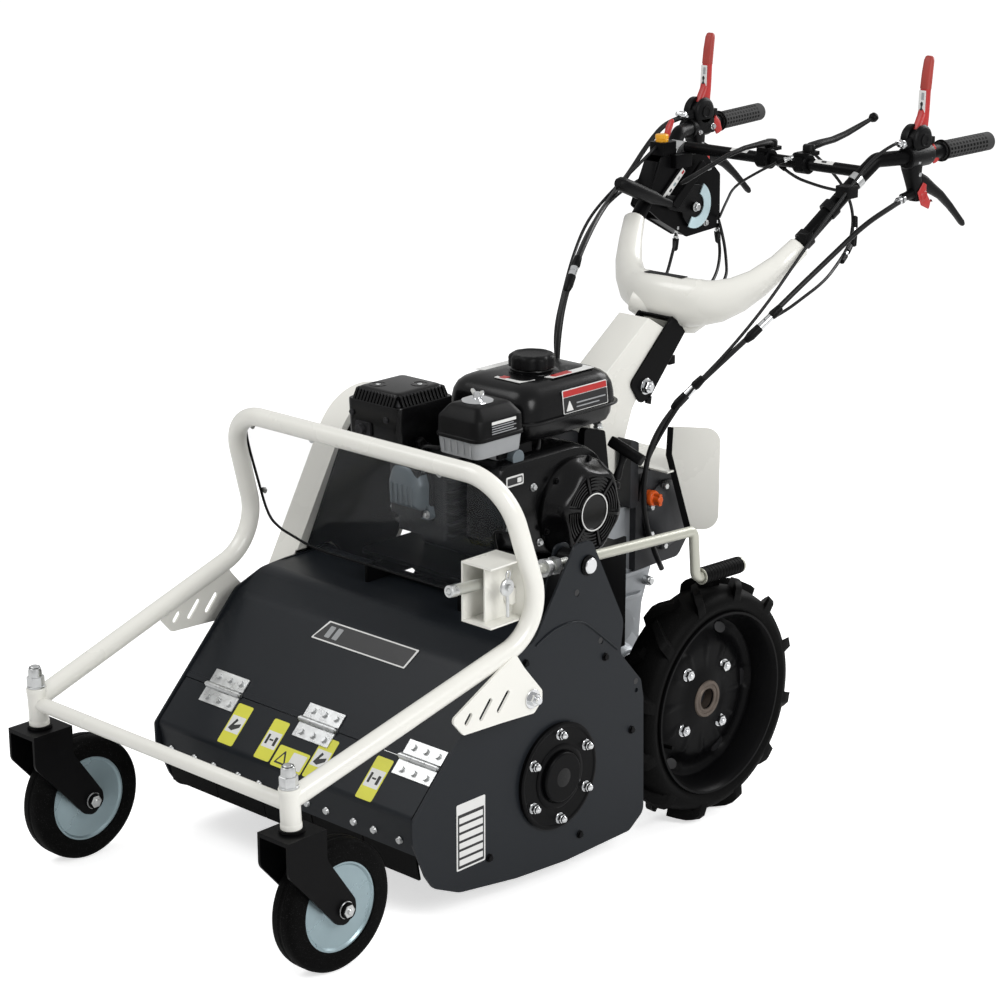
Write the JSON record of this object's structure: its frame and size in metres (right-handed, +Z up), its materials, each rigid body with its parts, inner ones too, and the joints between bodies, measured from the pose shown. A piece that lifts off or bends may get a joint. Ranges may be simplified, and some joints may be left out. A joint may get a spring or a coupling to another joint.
{
  "type": "walk-behind flail mower",
  "caption": "Walk-behind flail mower with a closed deck, castor frame with clear shield, engine, lugged drive wheels and a forked white and black handlebar.",
  "frame": {"origin": "middle of the machine's length and width, on the ground", "axes": "X to the operator's left, Y to the rear, Z up"},
  "size_m": [0.736, 1.82, 1.3274],
  "materials": {
    "deck_black": "semi-gloss charcoal enamel",
    "frame_white": "gloss white enamel",
    "zinc": "bright zinc plate",
    "black_metal": "satin black enamel",
    "black_plastic": "fine-grained black plastic",
    "grey_plastic": "grey plastic",
    "red_plastic": "red plastic",
    "orange_plastic": "orange plastic",
    "grip_rubber": "ribbed soft rubber",
    "cable_sheath": "black cable sheath",
    "tyre_rubber": "matt black tyre",
    "aluminium_casting": "as cast",
    "dark_casting": "black painted casting",
    "clear_sheet": "clear polycarbonate",
    "rotor_steel": "blackened steel",
    "castor_grey": "castor wheel with a grey-blue centre"
  },
  "bodies": {
    "mower": {"deck_hood": "deck_black", "side_plate_left": "deck_black", "side_plate_right": "deck_black", "chassis_frame": "black_metal", "rotor_bearing_cover": "black_metal", "deck_fasteners": "zinc", "hinge_upper_leaves": "zinc", "belt_guard": "frame_white", "drive_belt": "grip_rubber", "gearbox_housing": "aluminium_casting", "gearbox_casting": "dark_casting", "rear_guards": "frame_white", "crankcase": "dark_casting", "cylinder_head": "dark_casting", "fan_shroud": "black_metal", "recoil_cover": "black_plastic", "muffler": "black_metal", "air_filter_base": "grey_plastic", "air_filter_cover": "black_plastic", "fuel_tank": "black_metal", "handlebar_column": "frame_white"},
    "handlebar": {"column_clamp": "black_metal", "handlebar_yoke": "frame_white", "handlebar_tubes": "black_metal", "handlebar_grips": "grip_rubber", "lever_perches": "black_plastic", "control_console": "black_metal", "cable_left": "cable_sheath", "cable_right": "cable_sheath", "cable_console": "cable_sheath"},
    "front_frame": {"front_frame": "frame_white", "windshield": "clear_sheet"},
    "front_flap": {"front_flap": "deck_black", "flap_skirt": "grip_rubber", "hinge_lower_leaves": "zinc"},
    "flail_rotor": {"flail_rotor": "rotor_steel"},
    "flail_row_1": {"flail_row_1": "rotor_steel"},
    "flail_row_2": {"flail_row_2": "rotor_steel"},
    "crank_pulley": {"crank_pulley": "rotor_steel"},
    "height_crank": {"height_crank": "zinc"},
    "castor_fork_left": {"castor_fork_left": "black_metal"},
    "castor_fork_right": {"castor_fork_right": "black_metal"},
    "castor_wheel_left": {"castor_wheel_left": "castor_grey"},
    "castor_wheel_right": {"castor_wheel_right": "castor_grey"},
    "drive_wheel_left": {"wheel_rim_left": "black_metal", "wheel_tyre_left": "tyre_rubber"},
    "drive_wheel_right": {"wheel_rim_right": "black_metal", "wheel_tyre_right": "tyre_rubber"},
    "clutch_lever_left": {"clutch_lever_left": "red_plastic"},
    "clutch_lever_right": {"clutch_lever_right": "red_plastic"},
    "brake_lever_left": {"brake_lever_left": "black_plastic"},
    "brake_lever_right": {"brake_lever_right": "black_plastic"},
    "gear_lever": {"gear_lever": "black_metal"},
    "throttle_lever": {"throttle_lever": "black_metal"},
    "shift_paddle": {"shift_paddle": "black_plastic"},
    "kill_switch": {"kill_switch": "red_plastic"},
    "fuel_cap": {"fuel_cap": "black_plastic"},
    "gearbox_dipstick": {"gearbox_dipstick": "orange_plastic"},
    "air_filter_nut": {"air_filter_nut": "zinc"},
    "recoil_handle": {"recoil_handle": "black_plastic"}
  },
  "joints": [
    {"name": "handlebar_tilt", "type": "hinge", "parent": "mower", "child": "handlebar", "pos_m": [0, 0.21841, 0.73592], "axis": [1, 0, 0], "range_deg": [-8, 12], "deforming": ["cable_left", "cable_right"]},
    {"name": "frame_pivot", "type": "hinge", "parent": "mower", "child": "front_frame", "pos_m": [0, -0.40002, 0.3607], "axis": [1, 0, 0], "range_deg": [-4.5, 4.5]},
    {"name": "flap_hinge", "type": "hinge", "parent": "mower", "child": "front_flap", "pos_m": [0, -0.56197, 0.26822], "axis": [1, 0, 0], "range_deg": [-22, 0]},
    {"name": "rotor_spin", "type": "hinge", "parent": "mower", "child": "flail_rotor", "pos_m": [0, -0.28823, 0.19386], "axis": [1, 0, 0], "continuous": true},
    {"name": "flail_swing_1", "type": "hinge", "parent": "flail_rotor", "child": "flail_row_1", "pos_m": [0, -0.23129, 0.21838], "axis": [1, 0, 0], "range_deg": [-60, 60]},
    {"name": "flail_swing_2", "type": "hinge", "parent": "flail_rotor", "child": "flail_row_2", "pos_m": [0, -0.34517, 0.16933], "axis": [1, 0, 0], "range_deg": [-60, 60]},
    {"name": "crank_spin", "type": "hinge", "parent": "mower", "child": "crank_pulley", "pos_m": [0, -0.09187, 0.59282], "axis": [1, 0, 0], "continuous": true},
    {"name": "height_spindle", "type": "hinge", "parent": "mower", "child": "height_crank", "pos_m": [0.281, -0.23529, 0.54393], "axis": [0, 1, -0.0067], "range_deg": [-1290, 1290]},
    {"name": "castor_swivel_left", "type": "hinge", "parent": "front_frame", "child": "castor_fork_left", "pos_m": [0.304, -0.87604, 0.29519], "axis": [0, -0.0976, 0.9952], "continuous": true},
    {"name": "castor_roll_left", "type": "hinge", "parent": "castor_fork_left", "child": "castor_wheel_left", "pos_m": [0.304, -0.787, 0.106], "axis": [1, 0, 0], "continuous": true},
    {"name": "drive_roll_left", "type": "hinge", "parent": "mower", "child": "drive_wheel_left", "pos_m": [0, 0.15101, 0.21978], "axis": [1, 0, 0], "continuous": true},
    {"name": "clutch_pull_left", "type": "hinge", "parent": "handlebar", "child": "clutch_lever_left", "pos_m": [0.256, 0.6978, 1.17725], "axis": [1, 0, 0], "range_deg": [-35, 0]},
    {"name": "brake_pull_left", "type": "hinge", "parent": "handlebar", "child": "brake_lever_left", "pos_m": [0.256, 0.72187, 1.07246], "axis": [1, 0, 0], "range_deg": [0, 16], "stiffness_Nm_per_rad": 2},
    {"name": "castor_swivel_right", "type": "hinge", "parent": "front_frame", "child": "castor_fork_right", "pos_m": [-0.304, -0.87604, 0.29519], "axis": [0, -0.0976, 0.9952], "continuous": true},
    {"name": "castor_roll_right", "type": "hinge", "parent": "castor_fork_right", "child": "castor_wheel_right", "pos_m": [-0.304, -0.787, 0.106], "axis": [1, 0, 0], "continuous": true},
    {"name": "drive_roll_right", "type": "hinge", "parent": "mower", "child": "drive_wheel_right", "pos_m": [0, 0.15101, 0.21978], "axis": [1, 0, 0], "continuous": true},
    {"name": "clutch_pull_right", "type": "hinge", "parent": "handlebar", "child": "clutch_lever_right", "pos_m": [-0.256, 0.6978, 1.17725], "axis": [1, 0, 0], "range_deg": [-35, 0]},
    {"name": "brake_pull_right", "type": "hinge", "parent": "handlebar", "child": "brake_lever_right", "pos_m": [-0.256, 0.72187, 1.07246], "axis": [1, 0, 0], "range_deg": [0, 16], "stiffness_Nm_per_rad": 2},
    {"name": "gear_shift", "type": "hinge", "parent": "handlebar", "child": "gear_lever", "pos_m": [0.088, 0.5974, 1.14642], "axis": [0, -0.0576, 0.9983], "range_deg": [-20, 20]},
    {"name": "throttle_shift", "type": "hinge", "parent": "handlebar", "child": "throttle_lever", "pos_m": [0, 0.5974, 1.14642], "axis": [0, -0.0576, 0.9983], "range_deg": [-20, 20]},
    {"name": "paddle_shift", "type": "hinge", "parent": "handlebar", "child": "shift_paddle", "pos_m": [-0.18, 0.60546, 1.00665], "axis": [1, 0, 0], "range_deg": [-15, 1]},
    {"name": "kill_press", "type": "slide", "parent": "handlebar", "child": "kill_switch", "axis": [0, 0.0576, -0.9983], "range_m": [0, 0.002], "stiffness_N_per_m": 400},
    {"name": "cap_lift", "type": "slide", "parent": "mower", "child": "fuel_cap", "axis": [0, -0.0576, 0.9983], "range_m": [0, 0.06]},
    {"name": "dipstick_draw", "type": "slide", "parent": "mower", "child": "gearbox_dipstick", "axis": [1, 0, 0], "range_m": [0, 0.05]},
    {"name": "filter_nut_lift", "type": "slide", "parent": "mower", "child": "air_filter_nut", "axis": [0, -0.0576, 0.9983], "range_m": [0, 0.06]},
    {"name": "starter_pull", "type": "slide", "parent": "mower", "child": "recoil_handle", "axis": [0, 0.37, 0.929], "range_m": [0, 0.06]}
  ],
  "couplings": [
    {"joint": "rotor_spin", "follows": "crank_spin", "ratio": 0.83871},
    {"joint": "frame_pivot", "follows": "height_spindle", "ratio": 0.0034884}
  ]
}
